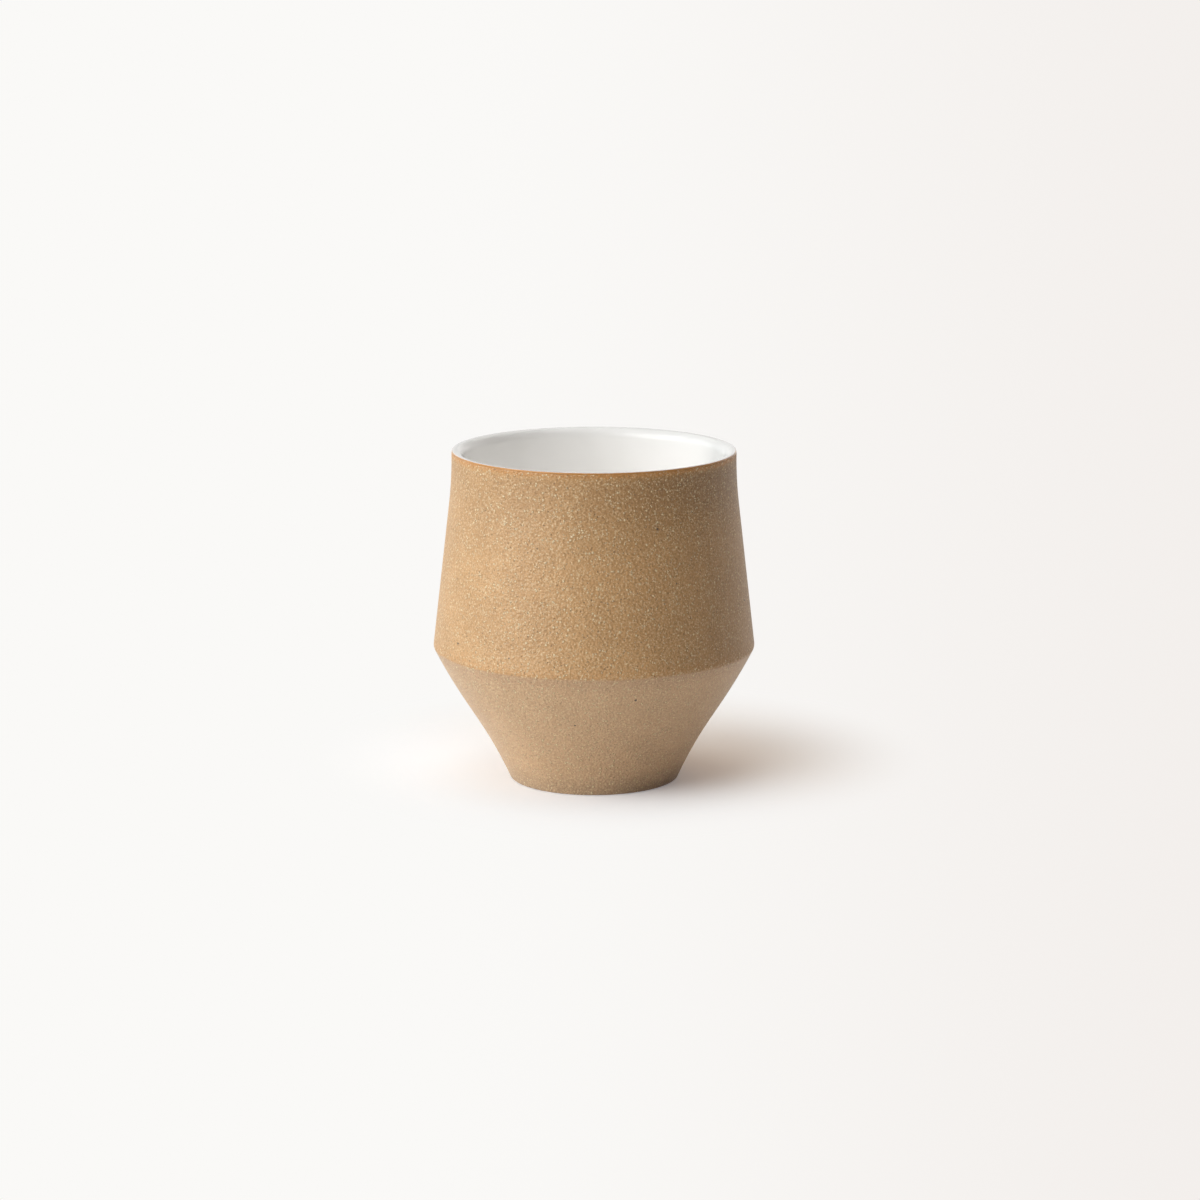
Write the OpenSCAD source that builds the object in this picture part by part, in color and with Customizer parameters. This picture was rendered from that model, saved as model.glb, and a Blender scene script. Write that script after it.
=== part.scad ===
// Yunomi: a tall tea cup with no handle. The clay is turned to a sharp shoulder low on the cup,
// leans in above it and stands upright at the rim. It is bare outside, under the foot and in the
// recess, and lined with white glaze that runs over the lip and stops at the lip's outer edge.
// Lengths are millimetres. The cup stands on the plane z = 0 with its axis on z.

/* [Outside] */
// Height of the cup, over the glaze on its lip
cup_h = 83; // [74:0.5:96]
// Diameter of the shoulder, where the upper and lower walls would meet in a sharp edge
shoulder_d = 80.2; // [74:0.2:90]
// Height of the shoulder
shoulder_h = 33.7; // [28:0.1:40]
// Diameter of the upright band under the rim
rim_d = 70.5; // [64:0.1:73]
// Height of the upright band, down to where the leaning wall would meet it
rim_band_h = 7.4; // [5:0.1:12]
// Diameter of the foot, where the lower wall would meet the table
foot_d = 42; // [38:0.2:48]

/* [Outside curves] */
// How far the lower wall is drawn in above the foot, from a straight line up to the shoulder
hollow_in = 0.9; // [0.2:0.05:1.4]
// How far the lower wall swells out under the shoulder, from the same line
swell_out = 0.4; // [0.1:0.05:0.8]
// Radius of the sweeps through that hollow and that swell
sweep_r = 155; // [60:5:160]
// Radius of the blend from the leaning wall into the upright band
rim_blend_r = 100; // [30:5:110]
// Radius on the shoulder
shoulder_edge_r = 2; // [0.6:0.1:5]
// Radius on the outer edge of the foot
foot_edge_r = 1; // [0.4:0.1:2]

/* [Clay wall] */
// Thickness of the clay in the walls
wall_t = 3.2; // [2.6:0.1:4.5]
// Thickness of the clay at the lip
lip_t = 2.6; // [2.2:0.1:3]
// Thickness of the clay in the floor, over the recess of the foot
floor_t = 4.6; // [3:0.1:7]
// Radius inside the cup at the height of the shoulder
inner_shoulder_r = 14; // [6:0.5:24]
// Radius inside the cup between the wall and the floor
inner_floor_r = 12; // [6:0.5:16]
// Radius inside the cup between the leaning wall and the upright band
inner_blend_r = 60; // [20:5:100]
// Radius on the inner edge of the lip
lip_inner_r = 2; // [0.6:0.1:2.2]
// Radius on the outer edge of the lip
lip_outer_r = 0.4; // [0.2:0.05:0.8]

/* [Foot] */
// Diameter of the recess turned into the foot, at the foot's flat
recess_d = 31; // [24:0.5:33]
// Depth of the recess
recess_h = 2.4; // [1:0.1:4]
// How far the recess narrows on the way up
recess_lean = 0.8; // [0:0.1:1.6]
// Radius in the corner of the recess
recess_corner_r = 1.4; // [0.4:0.1:2]
// Radius on the inner edge of the foot
recess_edge_r = 0.8; // [0.3:0.1:1.4]

/* [Glaze] */
// Thickness of the glaze
glaze_t = 0.35; // [0.2:0.05:0.6]
// Angle round the outer edge of the lip at which the glaze stops, up from the outside
glaze_stop = 45; // [30:5:60]

/* [Hidden] */

$fn = 180;

// Arcs are drawn in steps of this many degrees, and in no fewer steps than this
arc_step = 6;
arc_least = 6;

clay_colour = [0.70, 0.56, 0.41];
glaze_colour = [0.95, 0.95, 0.93];

shoulder_r = shoulder_d / 2;
rim_r = rim_d / 2;
foot_r = foot_d / 2;
recess_r = recess_d / 2;

clay_top = cup_h - glaze_t;
band_z = cup_h - rim_band_h;
floor_z = recess_h + floor_t;

// Where the hollow and the swell lie, as shares of the shoulder's height
hollow_share = 0.25;
swell_share = 0.78;
hollow_z = hollow_share * shoulder_h;
swell_z = swell_share * shoulder_h;

// How fast the straight walls widen with height, below and above the shoulder
lower_slope = (shoulder_r - foot_r) / shoulder_h;
upper_slope = (rim_r - shoulder_r) / (band_z - shoulder_h);

// Radius of the straight lower and upper walls at a height, a distance inside the outer face
function across_wall(slope, inside) = inside * sqrt(1 + slope * slope);
function lower_wall_r(z, inside) = foot_r + lower_slope * z - across_wall(lower_slope, inside);
function upper_wall_r(z, inside) =
    rim_r + upper_slope * (z - band_z) - across_wall(upper_slope, inside);

// Inner faces of the wall: the height at which the lower and upper ones meet
inner_shoulder_z =
    (upper_wall_r(0, wall_t) - lower_wall_r(0, wall_t)) / (lower_slope - upper_slope);

// The radius inside the upright band, and the height at which the upper wall reaches it
lip_inner_wall_r = rim_r - lip_t;
inner_band_z = (lip_inner_wall_r - upper_wall_r(0, wall_t)) / upper_slope;

// Centre of the outer edge of the clay's lip, and the place on it where the glaze stops
lip_centre = [rim_r - lip_outer_r, clay_top - lip_outer_r];
glaze_line = lip_centre + lip_outer_r * [cos(glaze_stop), sin(glaze_stop)];

// The glaze ends in a bead that starts on that line and runs level into the top of the lip
bead_w = glaze_line[0] - lip_centre[0];
bead_h = cup_h - glaze_line[1];
bead_r = (bead_w * bead_w + bead_h * bead_h) / (2 * bead_h);
bead_centre = [lip_centre[0], cup_h - bead_r];
bead_start = atan2(glaze_line[1] - bead_centre[1], bead_w);

// Outlines are lists of corners, each with its distance from the axis, its height and its radius.
// The outside of the clay, from the axis under the foot up to the lip
outside = [
    [0, recess_h, 0],
    [recess_r - recess_lean, recess_h, recess_corner_r],
    [recess_r, 0, recess_edge_r],
    [foot_r, 0, foot_edge_r],
    [lower_wall_r(hollow_z, hollow_in), hollow_z, sweep_r],
    [lower_wall_r(swell_z, -swell_out), swell_z, sweep_r],
    [shoulder_r, shoulder_h, shoulder_edge_r],
    [rim_r, band_z, rim_blend_r],
    [rim_r, lip_centre[1], 0],
];

// The inside of the clay, from the top of the lip down to the middle of the floor
inside = [
    [lip_centre[0], clay_top, 0],
    [lip_inner_wall_r, clay_top, lip_inner_r],
    [lip_inner_wall_r, inner_band_z, inner_blend_r],
    [upper_wall_r(inner_shoulder_z, wall_t), inner_shoulder_z, inner_shoulder_r],
    [lower_wall_r(floor_z, wall_t), floor_z, inner_floor_r],
    [0, floor_z, 0],
];

function unit(v) = v / norm(v);
function left_of(v) = [-v[1], v[0]];
function turned(v, a) = [v[0] * cos(a) - v[1] * sin(a), v[0] * sin(a) + v[1] * cos(a)];
function reversed(points) = [for (i = [len(points) - 1 : -1 : 0]) points[i]];
function after_first(points) = [for (i = [1 : len(points) - 1]) points[i]];
function before_last(points) = [for (i = [0 : len(points) - 2]) points[i]];

// Steps that an arc is drawn in
function arc_steps(angle) = max(arc_least, ceil(abs(angle) / arc_step));

// An arc from one angle to another, without its first point
function arc(centre, r, from, to) =
    let (steps = arc_steps(to - from))
    [for (k = [1 : steps]) centre + turned([r, 0], from + (to - from) * k / steps)];

// A corner's place, and the direction in which the outline arrives at it
function place(corners, i) = [corners[i][0], corners[i][1]];
function heading(corners, i) = unit(place(corners, max(i, 1)) - place(corners, max(i, 1) - 1));

// Half of the angle through which the outline turns at a corner, positive to the left
function half_turn(corners, i) =
    i == 0 || i == len(corners) - 1 ? 0 :
    let (before = heading(corners, i), beyond = heading(corners, i + 1))
    atan2(cross(before, beyond), before * beyond) / 2;

// What a corner's radius takes off each of its edges, and the share of it that an edge has room for
function reach(corners, i) = abs(corners[i][2] * tan(half_turn(corners, i)));
function room_share(corners, i) =
    let (wanted = reach(corners, i) + reach(corners, i + 1))
    let (edge = norm(place(corners, i + 1) - place(corners, i)))
    wanted > edge ? edge / wanted : 1;

// A corner drawn as an arc that leaves and joins its edges smoothly
function rounded_corner(corners, i) =
    let (half = half_turn(corners, i), wanted = reach(corners, i))
    wanted == 0 ? [place(corners, i)] :
    let (taken = wanted * min(room_share(corners, i - 1), room_share(corners, i)))
    let (start = place(corners, i) - taken * heading(corners, i))
    let (centre = start + taken / tan(half) * left_of(heading(corners, i)))
    let (steps = arc_steps(2 * half))
    [for (k = [0 : steps]) centre + turned(start - centre, 2 * half * k / steps)];

function rounded(corners) = [for (i = [0 : len(corners) - 1]) each rounded_corner(corners, i)];

// The same outline moved to its right, with its arcs kept parallel
function moved_right(corners, d) = [
    for (i = [0 : len(corners) - 1])
    let (half = half_turn(corners, i), along = heading(corners, i))
    let (p = place(corners, i) - d * left_of(along) + d * tan(half) * along)
    [p[0], p[1], corners[i][2] == 0 ? 0 : corners[i][2] + d * sign(half)]
];

// The fired clay: one turned shell with its foot, shoulder, upright rim and rounded lip
module stoneware_body() {
    color(clay_colour)
        rotate_extrude()
            polygon(concat(
                rounded(outside),
                arc(lip_centre, lip_outer_r, 0, glaze_stop),
                arc(lip_centre, lip_outer_r, glaze_stop, 90),
                after_first(rounded(inside))
            ));
}

// The glaze: an even coat on the floor and the wall, over the lip and down to its beaded edge
module glaze_lining() {
    color(glaze_colour)
        rotate_extrude()
            polygon(concat(
                [glaze_line],
                arc(bead_centre, bead_r, bead_start, 90),
                after_first(rounded(moved_right(inside, glaze_t))),
                reversed(rounded(inside)),
                reversed(before_last(arc(lip_centre, lip_outer_r, glaze_stop, 90)))
            ));
}

stoneware_body();
glaze_lining();
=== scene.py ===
"""A yunomi tea cup: bare speckled stoneware outside, white gloss glaze inside and over the lip."""

import math

import bpy
import numpy as np
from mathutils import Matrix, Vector

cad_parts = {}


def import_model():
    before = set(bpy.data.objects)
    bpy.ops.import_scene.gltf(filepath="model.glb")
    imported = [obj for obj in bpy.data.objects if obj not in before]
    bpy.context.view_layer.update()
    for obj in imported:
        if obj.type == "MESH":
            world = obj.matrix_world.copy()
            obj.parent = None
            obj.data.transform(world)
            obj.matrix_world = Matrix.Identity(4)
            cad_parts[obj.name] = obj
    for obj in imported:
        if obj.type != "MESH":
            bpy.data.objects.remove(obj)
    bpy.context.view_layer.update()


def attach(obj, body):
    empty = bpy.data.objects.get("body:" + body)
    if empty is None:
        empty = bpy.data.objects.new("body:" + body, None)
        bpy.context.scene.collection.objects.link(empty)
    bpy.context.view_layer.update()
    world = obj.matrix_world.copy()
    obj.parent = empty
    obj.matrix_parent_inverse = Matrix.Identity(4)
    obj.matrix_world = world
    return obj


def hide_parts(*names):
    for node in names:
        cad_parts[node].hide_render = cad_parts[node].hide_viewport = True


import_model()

MM = 0.001

# Sizes of the cup in millimetres, as the solids have them
CUP_H = 83.0
SHOULDER_R = 40.1
SHOULDER_H = 33.7
RIM_R = 35.25
RIM_BAND_H = 7.4
FOOT_R = 21.0
HOLLOW_IN = 0.9
SWELL_OUT = 0.4
SWEEP_R = 155.0
RIM_BLEND_R = 100.0
SHOULDER_EDGE_R = 2.0
FOOT_EDGE_R = 1.0
WALL_T = 3.2
LIP_T = 2.6
FLOOR_T = 4.6
INNER_SHOULDER_R = 14.0
INNER_FLOOR_R = 12.0
INNER_BLEND_R = 60.0
LIP_INNER_R = 2.0
LIP_OUTER_R = 0.4
RECESS_R = 15.5
RECESS_H = 2.4
RECESS_LEAN = 0.8
RECESS_CORNER_R = 1.4
RECESS_EDGE_R = 0.8
GLAZE_T = 0.35
GLAZE_STOP = 45.0
HOLLOW_SHARE = 0.25
SWELL_SHARE = 0.78

CLAY_TOP = CUP_H - GLAZE_T
BAND_Z = CUP_H - RIM_BAND_H
FLOOR_Z = RECESS_H + FLOOR_T
LIP_INNER_WALL_R = RIM_R - LIP_T
LIP_CENTRE = np.array([RIM_R - LIP_OUTER_R, CLAY_TOP - LIP_OUTER_R])

# How finely the pieces are drawn
AROUND = 336
SHOWN_STEP = 0.62
HIDDEN_STEP = 5.0
ARC_STEP = math.radians(9)
ARC_LEAST = 6
BEAD_STEPS = 12
UNDER_STEPS = 6
HIDDEN_SHARE = 0.06

# How far the walls stray from a true circle, and how far the edge of the glaze wavers, in degrees
STRAY = 0.035
WAVER = 9
WAVER_MOST = 22


def unit(v):
    return v / np.linalg.norm(v)


def left_of(v):
    return np.array([-v[1], v[0]])


def turned(v, angle):
    c, s = math.cos(angle), math.sin(angle)
    return np.array([v[0] * c - v[1] * s, v[0] * s + v[1] * c])


def turn_between(a, b):
    """The angle from one direction to the next, positive to the left."""
    return math.atan2(a[0] * b[1] - a[1] * b[0], a @ b)


def arc_steps(angle):
    return max(ARC_LEAST, math.ceil(abs(angle) / ARC_STEP))


def arc(centre, r, start, end):
    """Points of an arc between two angles in radians, with both its ends."""
    angles = np.linspace(start, end, arc_steps(end - start) + 1)
    return [centre + r * np.array([math.cos(a), math.sin(a)]) for a in angles]


def rounded(corners):
    """Points along corners of (distance from the axis, height, radius), each corner drawn as an arc.
    Radii shrink where two arcs want more of an edge than there is."""
    places = [np.array(c[:2]) for c in corners]
    edges = [b - a for a, b in zip(places, places[1:])]
    turns = [0] + [turn_between(a, b) for a, b in zip(edges, edges[1:])] + [0]
    wanted = [abs(c[2] * math.tan(turn / 2)) for c, turn in zip(corners, turns)]
    room = [min(1, np.linalg.norm(e) / max(a + b, 1e-9)) for e, a, b in zip(edges, wanted, wanted[1:])]
    points = []
    for i, here in enumerate(places):
        if wanted[i] == 0:
            points.append(here)
            continue
        taken = wanted[i] * min(room[i - 1], room[i])
        start = here - taken * unit(edges[i - 1])
        centre = start + taken / math.tan(turns[i] / 2) * left_of(unit(edges[i - 1]))
        steps = arc_steps(turns[i])
        points += [centre + turned(start - centre, turns[i] * k / steps) for k in range(steps + 1)]
    return points


def moved_right(corners, d):
    """The same corners moved to the right of the way that they run, with their arcs kept parallel."""
    places = [np.array(c[:2]) for c in corners]
    edges = [b - a for a, b in zip(places, places[1:])]
    turns = [0] + [turn_between(a, b) for a, b in zip(edges, edges[1:])] + [0]
    moved = []
    for i, (corner, turn) in enumerate(zip(corners, turns)):
        along = unit(edges[max(i, 1) - 1])
        at = places[i] - d * left_of(along) + d * math.tan(turn / 2) * along
        moved.append((at[0], at[1], corner[2] + math.copysign(d, turn) if corner[2] else 0))
    return moved


def filled(points, step):
    """The points, each only once, with more put into each stretch that is longer than a step."""
    out = [points[0]]
    for a, b in zip(points, points[1:]):
        parts = math.ceil(np.linalg.norm(b - a) / step - 1e-6)
        out += [a + (b - a) * k / parts for k in range(1, parts + 1)]
    return out


# The straight walls: how fast they widen with height, and their radius a distance inside the outer face
lower_slope = (SHOULDER_R - FOOT_R) / SHOULDER_H
upper_slope = (RIM_R - SHOULDER_R) / (BAND_Z - SHOULDER_H)


def lower_wall_r(z, inside):
    return FOOT_R + lower_slope * z - inside * math.hypot(1, lower_slope)


def upper_wall_r(z, inside):
    return RIM_R + upper_slope * (z - BAND_Z) - inside * math.hypot(1, upper_slope)


hollow_z = HOLLOW_SHARE * SHOULDER_H
swell_z = SWELL_SHARE * SHOULDER_H
inner_shoulder_z = (upper_wall_r(0, WALL_T) - lower_wall_r(0, WALL_T)) / (lower_slope - upper_slope)
inner_band_z = (LIP_INNER_WALL_R - upper_wall_r(0, WALL_T)) / upper_slope

outside = [
    (0, RECESS_H, 0),
    (RECESS_R - RECESS_LEAN, RECESS_H, RECESS_CORNER_R),
    (RECESS_R, 0, RECESS_EDGE_R),
    (FOOT_R, 0, FOOT_EDGE_R),
    (lower_wall_r(hollow_z, HOLLOW_IN), hollow_z, SWEEP_R),
    (lower_wall_r(swell_z, -SWELL_OUT), swell_z, SWEEP_R),
    (SHOULDER_R, SHOULDER_H, SHOULDER_EDGE_R),
    (RIM_R, BAND_Z, RIM_BLEND_R),
    (RIM_R, LIP_CENTRE[1], 0),
]
inside = [
    (LIP_CENTRE[0], CLAY_TOP, 0),
    (LIP_INNER_WALL_R, CLAY_TOP, LIP_INNER_R),
    (LIP_INNER_WALL_R, inner_band_z, INNER_BLEND_R),
    (upper_wall_r(inner_shoulder_z, WALL_T), inner_shoulder_z, INNER_SHOULDER_R),
    (lower_wall_r(FLOOR_Z, WALL_T), FLOOR_Z, INNER_FLOOR_R),
    (0, FLOOR_Z, 0),
]

angles = np.arange(AROUND) * 2 * math.pi / AROUND


def waves(seed, low, high, x):
    """A smooth seeded ripple of x, an angle, between about -1 and 1, with whole numbers of waves."""
    rng = np.random.default_rng(seed)
    total = np.zeros_like(x)
    for count in range(low, high + 1):
        total += rng.normal() * np.cos(count * x + rng.uniform(0, 2 * math.pi))
    return total / math.sqrt(high - low + 1)


def out_of_round(x, z):
    """How far the turned walls stray from a true circle, in millimetres."""
    share = z / CUP_H
    return STRAY * (waves(11, 2, 4, x) * share + waves(12, 2, 6, x) * (1 - share))


def turned_mesh(name, outlines, shares):
    """A closed mesh from one outline per angle, each from the axis round to the axis again.
    outlines is indexed by point, angle, and then distance from the axis and height.
    shares gives each point's place up the texture map."""
    r, z = outlines[..., 0], outlines[..., 1]
    r = r + np.where(r > 0, out_of_round(angles, z), 0)
    rings = np.stack([r * np.cos(angles), r * np.sin(angles), z], -1)[1:-1] * MM
    count = len(rings)
    poles = np.array([[0, 0, z[0].mean()], [0, 0, z[-1].mean()]]) * MM
    vertices = np.concatenate([rings.reshape(-1, 3), poles])
    first, last = count * AROUND, count * AROUND + 1
    faces, corners = [], []
    for j in range(AROUND):
        k = (j + 1) % AROUND
        u, w = j / AROUND, (j + 1) / AROUND
        faces.append((first, k, j))
        corners += [((u + w) / 2, shares[0]), (w, shares[1]), (u, shares[1])]
        for i in range(count - 1):
            a, b = i * AROUND, (i + 1) * AROUND
            faces.append((a + j, a + k, b + k, b + j))
            low, high = shares[i + 1], shares[i + 2]
            corners += [(u, low), (w, low), (w, high), (u, high)]
        end = (count - 1) * AROUND
        faces.append((end + j, end + k, last))
        corners += [(u, shares[-2]), (w, shares[-2]), ((u + w) / 2, shares[-1])]
    mesh = bpy.data.meshes.new(name)
    mesh.from_pydata(vertices, [], faces)
    mesh.uv_layers.new(name="OFBake").uv.foreach_set("vector", np.array(corners, np.float32).ravel())
    mesh.shade_smooth()
    piece = bpy.data.objects.new(name, mesh)
    bpy.context.scene.collection.objects.link(piece)
    return piece


def up_the_map(outline, hidden_from):
    """Each point's share of the way up the texture map.
    The stretch after a point, which is hidden, gets only a small share of it."""
    steps = np.linalg.norm(np.diff(outline, axis=0), axis=1)
    along = np.concatenate([[0], np.cumsum(steps)])
    shown, rest = along[hidden_from], along[-1] - along[hidden_from]
    kept = 1 - HIDDEN_SHARE
    return np.where(along <= shown, along / shown * kept, kept + (along - shown) / rest * HIDDEN_SHARE)


def clay_piece():
    """The clay shell, from the middle of the recess up the outside, over the lip and down to the floor."""
    edge = arc(LIP_CENTRE, LIP_OUTER_R, 0, math.pi / 2)
    shown = filled(rounded(outside), SHOWN_STEP) + edge[1:]
    hidden = filled(rounded(inside), HIDDEN_STEP)[1:]
    outline = np.array(shown + hidden)
    outlines = np.repeat(outline[:, None], AROUND, axis=1)
    return turned_mesh("clay_shell", outlines, up_the_map(outline, len(shown) - 1))


def glaze_piece():
    """The glaze coat, from the middle of the floor up the wall and over the lip to its edge.
    It goes back along the clay, which hides it there."""
    front = filled(rounded(moved_right(inside, GLAZE_T)), SHOWN_STEP)
    back = filled(rounded(inside), HIDDEN_STEP)
    columns = []
    for ripple in waves(21, 9, 60, angles):
        stop = math.radians(GLAZE_STOP + np.clip(WAVER * ripple, -WAVER_MOST, WAVER_MOST))
        line = LIP_CENTRE + LIP_OUTER_R * np.array([math.cos(stop), math.sin(stop)])
        wide, high = line[0] - LIP_CENTRE[0], CUP_H - line[1]
        bead_r = (wide * wide + high * high) / (2 * high)
        bead_centre = np.array([LIP_CENTRE[0], CUP_H - bead_r])
        start = math.atan2(line[1] - bead_centre[1], wide)
        turns = np.linspace(math.pi / 2, start, BEAD_STEPS + 1)[1:]
        bead = [bead_centre + bead_r * np.array([math.cos(a), math.sin(a)]) for a in turns]
        turns = np.linspace(stop, math.pi / 2, UNDER_STEPS + 1)[1:]
        under = [LIP_CENTRE + LIP_OUTER_R * np.array([math.cos(a), math.sin(a)]) for a in turns]
        columns.append(front[::-1] + bead + under + back[1:])
    outlines = np.array(columns).transpose(1, 0, 2)
    last_shown = len(front) + BEAD_STEPS - 1
    return turned_mesh("glaze_coat", outlines, up_the_map(outlines[:, 0], last_shown))


class Graph:
    """Makes the nodes of a material or a world. An input is a number, a colour or another node's output."""

    def __init__(self, owner):
        self.owner = owner
        owner.use_nodes = True
        self.tree = owner.node_tree
        self.tree.nodes.clear()

    def node(self, kind, inputs, **settings):
        made = self.tree.nodes.new(kind)
        for key, value in settings.items():
            setattr(made, key, value)
        for key, value in inputs.items():
            if isinstance(value, bpy.types.NodeSocket):
                self.tree.links.new(value, made.inputs[key])
            else:
                made.inputs[key].default_value = value
        return made

    def millimetres(self):
        """Places on the piece, in millimetres."""
        place = self.node("ShaderNodeTexCoord", {}).outputs["Object"]
        return self.node("ShaderNodeVectorMath", {0: place, "Scale": 1 / MM}, operation="SCALE").outputs[0]

    def noise(self, place, size, detail, roughness=0.5):
        """Noise between 0 and 1, whose blobs are about this many millimetres across."""
        inputs = {"Vector": place, "Scale": 1 / size, "Detail": detail, "Roughness": roughness}
        return self.node("ShaderNodeTexNoise", inputs).outputs["Fac"]

    def from_axis(self, place):
        """Distance of a place from the cup's axis."""
        parts = self.node("ShaderNodeSeparateXYZ", {0: place}).outputs
        level = self.node("ShaderNodeCombineXYZ", {"X": parts["X"], "Y": parts["Y"]}).outputs[0]
        return self.node("ShaderNodeVectorMath", {0: level}, operation="LENGTH").outputs["Value"]

    def moved(self, place, by):
        return self.node("ShaderNodeVectorMath", {0: place, 1: by}, operation="ADD").outputs[0]

    def grains(self, place, apart, least, more, rare, strength):
        """Round grains about so many millimetres apart, with radii from least to least + more.
        rare is the share of them that is left out."""
        made = self.node("ShaderNodeTexVoronoi", {"Vector": place, "Scale": 1 / apart}).outputs
        own = self.node("ShaderNodeSeparateColor", {0: made["Color"]}).outputs
        radius = self.math("MULTIPLY_ADD", own[1], more, least)
        inside = self.math("SUBTRACT", radius, self.math("MULTIPLY", made["Distance"], apart))
        shape = self.math("MULTIPLY", self.fade(inside, -0.03, 0.06), self.fade(own[0], rare, rare + 0.06))
        return self.math("MULTIPLY", shape, strength)

    def math(self, operation, a, b=0.0, c=0.0):
        return self.node("ShaderNodeMath", {0: a, 1: b, 2: c}, operation=operation).outputs[0]

    def fade(self, value, start, end, low=0.0, high=1.0):
        """A value taken smoothly from low at start to high at end."""
        inputs = {"Value": value, "From Min": start, "From Max": end, "To Min": low, "To Max": high}
        return self.node("ShaderNodeMapRange", inputs, interpolation_type="SMOOTHSTEP").outputs["Result"]

    def mix(self, factor, a, b):
        return self.node("ShaderNodeMix", {0: factor, 6: a, 7: b}, data_type="RGBA").outputs[2]

    def shown(self):
        """1 for rays that show a thing, from the camera, in a gloss or through glass, and 0 for others."""
        path = self.node("ShaderNodeLightPath", {}).outputs
        camera_or_gloss = self.math("MAXIMUM", path["Is Camera Ray"], path["Is Glossy Ray"])
        return self.math("MAXIMUM", camera_or_gloss, path["Is Transmission Ray"])

    def finish(self, shader, kind="ShaderNodeOutputMaterial"):
        self.node(kind, {"Surface": shader})
        return self.owner


def rgb(r, g, b):
    return (r, g, b, 1.0)


# Colours of the clay and the glaze
UPPER_DEEP = rgb(0.638, 0.364, 0.154)
UPPER_LIGHT = rgb(0.714, 0.414, 0.180)
# Below the shoulder: partly the clay's own paler tone and partly painted light for the downward-facing wall
LOWER_DEEP_AND_BOUNCE = rgb(0.718, 0.469, 0.265)
LOWER_LIGHT_AND_BOUNCE = rgb(0.788, 0.517, 0.295)
EDGE_GOLD = rgb(0.718, 0.388, 0.153)
EDGE_MAUVE = rgb(0.594, 0.364, 0.213)
# Painted shade towards the rim and on the side away from the lamps
RIM_AND_RIGHT_SHADE = rgb(0.336, 0.174, 0.060)
# Painted shade near the table, where the foot meets it
FOOT_SHADE = rgb(0.426, 0.297, 0.185)
HALO = rgb(0.718, 0.381, 0.124)
RUST = rgb(0.638, 0.297, 0.084)
GROG = rgb(1.000, 0.820, 0.525)
PIT = rgb(0.291, 0.166, 0.078)
IRON = rgb(0.075, 0.050, 0.035)
GLAZE_DEEP = rgb(0.837, 0.830, 0.812)
GLAZE_LIGHT = rgb(0.861, 0.854, 0.838)

# Sizes of what is uneven in the clay and the glaze, and the heights of their relief, in millimetres
CLOUD_SIZE = 11.0
DRIFT_SIZE = 2.2
GRAIN_SIZE = 0.46
RELIEF_SIZE = 0.62
RELIEF = 0.22
RING_STEP = 1.1
GLAZE_RELIEF = 0.05
GLAZE_CLOUD_SIZE = 12.0
GLAZE_SWAY_SIZE = 7.0

# How far the tones of the clay reach, in millimetres: from the shoulder, from the table and from the lip.
# The tone from the table is painted shade at the foot, and the longest one from the lip is painted shade
# towards the rim.
GOLD_REACH = 3.2
MAUVE_REACH = 5.0
FOOT_SHADE_REACH = 7.0
RIM_SHADE_REACH = 26.0
HALO_REACH = 2.4
RUST_REACH = 1.1

# Grains: how far apart, the least radius and the most that is added to it, in millimetres, and the share
# left out. Each kind after the first is shifted, so that the kinds don't lie on each other.
GROG_GRAINS = (0.85, 0.11, 0.18, 0.24)
FINE_GROG_GRAINS = (0.50, 0.07, 0.09, 0.40)
FINE_GROG_SHIFT = (3.7, 21.9, 8.3)
DARK_GRAINS = (0.80, 0.09, 0.13, 0.70)
DARK_SHIFT = (17.3, 5.1, 9.7)

# Iron spots in the clay: degrees round from the front towards the right, height and radius in millimetres
IRON_SPOTS = [
    (-57, 38.5, 0.34),
    (-31, 37.5, 0.26),
    (25, 69.0, 0.30),
    (16, 27.5, 0.36),
    (32, 55.5, 0.24),
    (-8, 20.5, 0.24),
    (74, 47.0, 0.30),
    (-96, 24.0, 0.28),
    (118, 61.0, 0.34),
    (141, 33.0, 0.26),
    (-128, 52.0, 0.30),
    (-162, 70.0, 0.24),
    (171, 18.0, 0.32),
]


def outer_wall_r(z):
    """Radius of the clay's outer face at a height, near enough to set a spot on it."""
    wall = np.array([p for p in rounded(outside) if p[0] > FOOT_R - FOOT_EDGE_R])
    return float(np.interp(z, wall[:, 1], wall[:, 0]))


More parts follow.
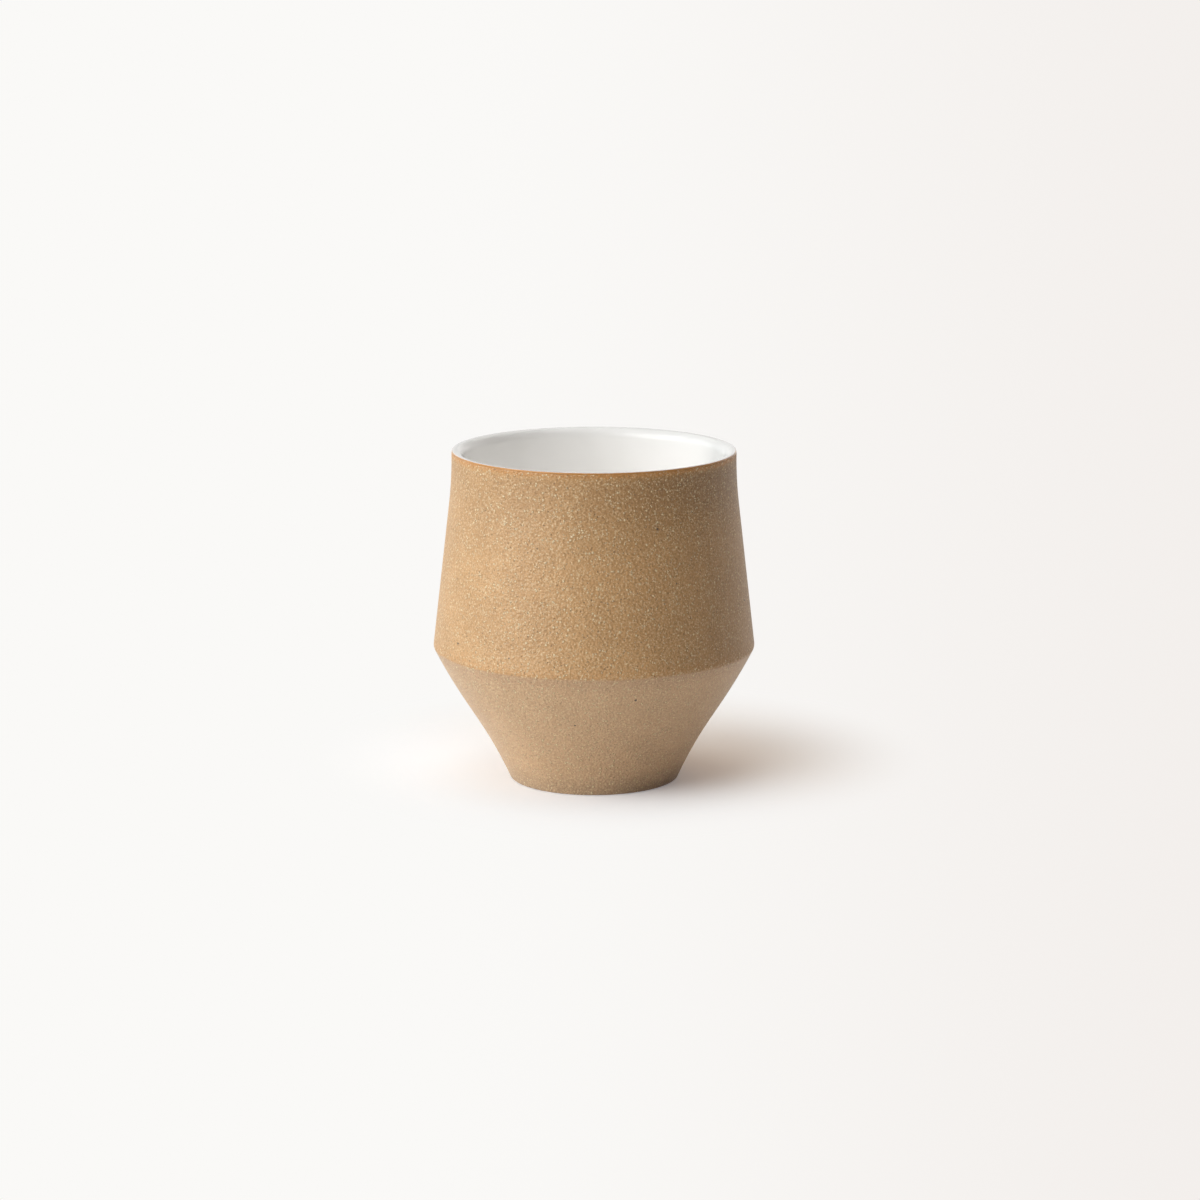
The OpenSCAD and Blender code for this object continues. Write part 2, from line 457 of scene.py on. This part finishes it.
def stoneware():
    """Bare tan clay with a sandy grain, pale grog, dark grains and a few iron spots.
    It is golden above the shoulder and rusty under the edge of the glaze. Below the shoulder it is paler,
    partly its own tone and partly painted light; painted shade darkens it towards the rim, on its right
    side and near the table, and painted light makes its pale grains stronger on the right."""
    g = Graph(bpy.data.materials.new("bare_stoneware"))
    place = g.millimetres()
    axes = g.node("ShaderNodeSeparateXYZ", {0: place}).outputs
    across, height = axes["X"], axes["Z"]
    cloud = g.noise(place, CLOUD_SIZE, 2.0)
    grain = g.noise(place, GRAIN_SIZE, 1.0, 0.6)
    relief = g.noise(place, RELIEF_SIZE, 0.5)
    above = g.fade(g.math("MULTIPLY_ADD", cloud, 0.5, height), SHOULDER_H - 0.3, SHOULDER_H + 0.5)

    # The two tones of the clay, each a little uneven. The paler tone below the shoulder is partly the
    # clay's own and partly painted light, making up for the light that the downward-facing lower wall
    # lacks.
    upper = g.mix(g.fade(cloud, 0.3, 0.7), UPPER_DEEP, UPPER_LIGHT)
    near_edge = g.fade(height, SHOULDER_H + GOLD_REACH, SHOULDER_H + 0.3, 0.0, 0.5)
    upper = g.mix(near_edge, upper, EDGE_GOLD)
    lower = g.mix(g.fade(cloud, 0.3, 0.7), LOWER_DEEP_AND_BOUNCE, LOWER_LIGHT_AND_BOUNCE)
    under_edge = g.fade(height, SHOULDER_H - MAUVE_REACH, SHOULDER_H - 0.4, 0.0, 0.5)
    lower = g.mix(under_edge, lower, EDGE_MAUVE)
    # Painted shade: darker near the table, at the foot
    lower = g.mix(g.fade(height, FOOT_SHADE_REACH, 0.2, 0.0, 0.50), lower, FOOT_SHADE)
    colour = g.mix(above, lower, upper)

    # Painted shade: the clay darker towards the rim and far darker on its right side, away from the lamps,
    # also above the shoulder there; and rusty at the line where the glaze starts
    drift = g.math("MULTIPLY_ADD", g.noise(place, DRIFT_SIZE, 2.0), 1.2, height)
    to_rim = g.fade(drift, CUP_H - RIM_SHADE_REACH, CUP_H - 1.0)
    painted_rim_shade = g.math("MULTIPLY", to_rim, g.fade(across, -10.0, 32.0, 0.26, 0.92))
    painted_right_shade = g.math("MULTIPLY", above, g.fade(across, 8.0, 34.0, 0.0, 0.30))
    colour = g.mix(g.math("MAXIMUM", painted_rim_shade, painted_right_shade), colour, RIM_AND_RIGHT_SHADE)
    colour = g.mix(g.fade(drift, CUP_H - HALO_REACH, CUP_H + 0.1, 0.0, 0.55), colour, HALO)
    colour = g.mix(g.fade(drift, CUP_H - RUST_REACH, CUP_H - 0.3, 0.0, 0.9), colour, RUST)

    # Sandy grain, whose dark side is stronger above the shoulder
    deep = g.fade(above, 0.0, 1.0, 0.58, 1.0)
    pale_by_height = g.fade(above, 0.0, 1.0, 1.35, 1.0)
    # Painted light: the pale grains are made stronger towards the right, the side away from the lamps,
    # standing in for light on the raised grains there
    pale = g.math("MULTIPLY", pale_by_height, g.fade(across, 0.0, 28.0, 1.0, 1.35))
    light_grain = g.fade(grain, 0.5, 0.78, 0.0, 0.58)
    dark_grain = g.math("MULTIPLY", g.fade(grain, 0.5, 0.24, 0.0, 0.42), deep)
    colour = g.mix(light_grain, colour, GROG)
    colour = g.mix(dark_grain, colour, PIT)

    # Single grains of pale grog, large and small, and of darker clay
    grog = g.grains(place, *GROG_GRAINS, pale)
    fine_grog = g.grains(g.moved(place, FINE_GROG_SHIFT), *FINE_GROG_GRAINS, pale)
    colour = g.mix(g.math("MULTIPLY", grog, 0.90), colour, GROG)
    colour = g.mix(g.math("MULTIPLY", fine_grog, 0.75), colour, GROG)
    dark = g.grains(g.moved(place, DARK_SHIFT), *DARK_GRAINS, deep)
    colour = g.mix(g.math("MULTIPLY", dark, 0.65), colour, PIT)

    # Iron spots
    iron = 0.0
    for around, z, size in IRON_SPOTS:
        turn = math.radians(around)
        r = outer_wall_r(z)
        spot = (r * math.sin(turn), -r * math.cos(turn), z)
        gone = g.node("ShaderNodeVectorMath", {0: place, 1: spot}, operation="DISTANCE").outputs["Value"]
        ragged = g.math("MULTIPLY_ADD", grain, 0.25, gone)
        iron = g.math("MAXIMUM", iron, g.fade(ragged, size + 0.16, size + 0.02))
    colour = g.mix(g.math("MULTIPLY", iron, 0.85), colour, IRON)

    # Grog stands proud and dark grains lie low
    bumps = g.math("MULTIPLY_ADD", grog, 0.60, relief)
    bumps = g.math("MULTIPLY_ADD", dark, -0.40, bumps)

    # The tool's rings in the recess of the foot
    out = g.from_axis(place)
    inward = g.fade(out, RECESS_R - 1.0, RECESS_R - 2.5)
    in_recess = g.math("MULTIPLY", inward, g.fade(height, RECESS_H + 0.8, RECESS_H + 0.3))
    uneven = g.math("MULTIPLY_ADD", cloud, 0.5, out)
    rings = g.math("SINE", g.math("MULTIPLY", uneven, 2 * math.pi / RING_STEP))
    bumps = g.math("MULTIPLY_ADD", g.math("MULTIPLY", rings, in_recess), 0.22, bumps)
    bump = g.node("ShaderNodeBump", {"Strength": 1.0, "Distance": RELIEF * MM, "Height": bumps})
    shader = g.node("ShaderNodeBsdfPrincipled", {
        "Base Color": colour,
        "Roughness": g.fade(above, 0.0, 1.0, 0.44, 0.48),
        "IOR": 1.5,
        "Specular IOR Level": 0.75,
        "Normal": bump.outputs[0],
    })
    return g.finish(shader.outputs[0])


def white_glaze():
    """White gloss glaze, a little uneven, that turns rusty where it ends at the edge of the lip."""
    g = Graph(bpy.data.materials.new("white_glaze"))
    place = g.millimetres()
    sway = g.noise(place, GLAZE_SWAY_SIZE, 2.0)
    bump = g.node("ShaderNodeBump", {"Strength": 0.2, "Distance": GLAZE_RELIEF * MM, "Height": sway})
    colour = g.mix(g.fade(g.noise(place, GLAZE_CLOUD_SIZE, 2.0), 0.3, 0.7), GLAZE_DEEP, GLAZE_LIGHT)

    # Rusty at its outer edge, where it thins over the clay
    height = g.node("ShaderNodeSeparateXYZ", {0: place}).outputs["Z"]
    ragged = g.math("MULTIPLY_ADD", g.noise(place, 0.9, 1.0), 0.12, g.from_axis(place))
    at_lip = g.fade(height, CUP_H - 3.0, CUP_H - 2.0)
    edge = g.math("MULTIPLY", g.fade(ragged, RIM_R - 0.30, RIM_R - 0.06), at_lip)
    colour = g.mix(edge, colour, RUST)
    shader = g.node("ShaderNodeBsdfPrincipled", {
        "Base Color": colour,
        "Roughness": 0.09,
        "IOR": 1.5,
        "Normal": bump.outputs[0],
    })
    return g.finish(shader.outputs[0])


def dress(piece, material, node):
    piece.data.materials.append(material)
    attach(piece, "root")
    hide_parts(node)


dress(clay_piece(), stoneware(), "stoneware_body")
dress(glaze_piece(), white_glaze(), "glaze_lining")

# The camera, as far and as high as the photograph's view of the cup
CAMERA_LENS = 110.0
CAMERA_SENSOR = 36.0
CAMERA_AT = (1.5 * MM, -895.4 * MM, 231.6 * MM)
CAMERA_DOWN = math.radians(11.782)

# The stage: a wide pale floor that takes the cup's shadow, and shows as a pale ground farther off, with
# painted shade that makes it darker and warmer towards the right.
# Round the shadow's middle the floor shows as the lamps light it, and the ground takes over farther out.
FLOOR_SIZE = 60.0
FLOOR_DROP = 0.05 * MM
SHADOW_AT = (6 * MM, 20 * MM, 0.0)
SHADOW_NEAR = 30 * MM
SHADOW_FAR = 81 * MM
NEAREST_DEPTH = 0.3
GLOW_FROM = -35 * MM
GLOW_TO = 75 * MM
GLOW_LEFT = rgb(0.235, 0.230, 0.240)
GLOW_RIGHT = rgb(0.170, 0.115, 0.075)
FLOOR_BOUNCE = rgb(0.74, 0.685, 0.63)
FLOOR_COLOUR = rgb(0.920, 0.930, 0.935)
GROUND_LEFT = rgb(0.956, 0.947, 0.930)
GROUND_RIGHT_SHADED = rgb(0.896, 0.862, 0.838)
ROOM = rgb(0.14, 0.125, 0.11)


def floor():
    """The floor, lit by the lamps near the cup, where a glow softens the shadow, and plain beyond it but
    for painted shade towards the right.
    """
    bpy.ops.mesh.primitive_plane_add(size=FLOOR_SIZE, location=(0, 0, -FLOOR_DROP))
    made = bpy.context.object
    made.name = "floor"
    g = Graph(bpy.data.materials.new("pale_floor"))
    place = g.node("ShaderNodeNewGeometry", {}).outputs["Position"]
    away = g.node("ShaderNodeVectorMath", {0: place, 1: SHADOW_AT}, operation="DISTANCE").outputs["Value"]
    axes = g.node("ShaderNodeSeparateXYZ", {0: place}).outputs
    depth = g.math("MAXIMUM", g.math("SUBTRACT", axes["Y"], CAMERA_AT[1]), NEAREST_DEPTH)
    sideways = g.math("DIVIDE", axes["X"], depth)
    # Painted shade: the plain ground darker and warmer towards the right, as if the light fell off that way
    ground = g.mix(g.fade(sideways, -0.06, 0.20), GROUND_LEFT, GROUND_RIGHT_SHADED)
    shown = g.shown()
    paint = g.mix(shown, FLOOR_BOUNCE, FLOOR_COLOUR)
    lit = g.node("ShaderNodeBsdfDiffuse", {"Color": paint}).outputs[0]
    # Painted light: a glow, which only camera, gloss and glass rays see, lifts the shadow near the cup,
    # grey on the left and warm brown on the right
    side = g.math("MULTIPLY_ADD", axes["Y"], 1.2, axes["X"])
    tint = g.mix(g.fade(side, GLOW_FROM, GLOW_TO), GLOW_LEFT, GLOW_RIGHT)
    glow = g.node("ShaderNodeEmission", {"Color": tint, "Strength": shown}).outputs[0]
    near = g.node("ShaderNodeAddShader", {0: lit, 1: glow}).outputs[0]
    pale = g.node("ShaderNodeEmission", {"Color": ground}).outputs[0]
    share = g.math("MULTIPLY", g.fade(away, SHADOW_NEAR, SHADOW_FAR), shown)
    shader = g.node("ShaderNodeMixShader", {0: share, 1: near, 2: pale}).outputs[0]
    made.data.materials.append(g.finish(shader))


def world():
    """Nothing but the lamps and the floor lights the cup.
    What it mirrors is pale behind it and above the table, and dim elsewhere."""
    g = Graph(bpy.data.worlds.new("studio"))
    ray = g.node("ShaderNodeTexCoord", {}).outputs["Generated"]
    axes = g.node("ShaderNodeSeparateXYZ", {0: ray}).outputs
    behind = g.math("MULTIPLY", g.fade(axes["Y"], 0.0, 0.6), g.fade(axes["Z"], 0.75, 0.2))
    seen = g.mix(behind, ROOM, GROUND_LEFT)
    shader = g.node("ShaderNodeBackground", {"Color": seen, "Strength": g.shown()}).outputs[0]
    bpy.context.scene.world = g.finish(shader, "ShaderNodeOutputWorld")


# Soft lamps: name, degrees to the left of the camera and up from the table, strength and colour
LAMP_DISTANCE = 3.0
LAMP_SIZE = 2.8
LAMPS = [
    ("side", 63, 26, 0.58, (0.97, 0.99, 1.0)),
    ("front left", 48, 28, 0.245, (0.98, 0.99, 1.0)),
    ("back left", 104, 26, 0.22, (0.82, 0.94, 1.0)),
    ("top", 60, 85, 0.34, (1.0, 0.97, 0.93)),
    ("back", 180, 55, 0.23, (1.0, 0.97, 0.94)),
    ("back right", -152, 32, 0.08, (1.0, 0.94, 0.90)),
]

# A small lamp inside the mouth, and the place that it faces
MOUTH_SIZE = 30 * MM
MOUTH_POWER = 0.0078
MOUTH_COLOUR = (1.0, 0.96, 0.92)
MOUTH_AT = Vector((16, -6, 70)) * MM
MOUTH_FACES = Vector((-20, 20, 74)) * MM


def lamp(name, left, up, strength, colour):
    """A square soft lamp that faces the cup. A strength of 1 lights a white card that faces it to white."""
    data = bpy.data.lights.new(name, "AREA")
    data.size = LAMP_SIZE
    data.energy = strength * math.pi * math.pi * LAMP_DISTANCE ** 2
    data.color = colour
    made = bpy.data.objects.new(name, data)
    bpy.context.scene.collection.objects.link(made)
    turn, rise = math.radians(left), math.radians(up)
    level = LAMP_DISTANCE * math.cos(rise)
    made.location = (-level * math.sin(turn), -level * math.cos(turn), LAMP_DISTANCE * math.sin(rise))
    made.rotation_euler = made.location.to_track_quat("Z", "Y").to_euler()


def mouth_lamp():
    """A small lamp that faces the part of the inside that the others leave dark, and that no ray shows."""
    data = bpy.data.lights.new("mouth", "AREA")
    data.size = MOUTH_SIZE
    data.energy = MOUTH_POWER
    data.color = MOUTH_COLOUR
    made = bpy.data.objects.new("mouth", data)
    bpy.context.scene.collection.objects.link(made)
    made.location = MOUTH_AT
    made.rotation_euler = (MOUTH_AT - MOUTH_FACES).to_track_quat("Z", "Y").to_euler()
    made.visible_camera = False
    made.visible_glossy = False


for values in LAMPS:
    lamp(*values)
mouth_lamp()
floor()
world()

camera_data = bpy.data.cameras.new("camera")
camera_data.lens = CAMERA_LENS
camera_data.sensor_width = CAMERA_SENSOR
camera_data.sensor_fit = "HORIZONTAL"
camera = bpy.data.objects.new("camera", camera_data)
camera.location = CAMERA_AT
camera.rotation_euler = (math.pi / 2 - CAMERA_DOWN, 0, 0)
bpy.context.scene.collection.objects.link(camera)
bpy.context.scene.camera = camera

bpy.context.scene.view_settings.view_transform = "Standard"
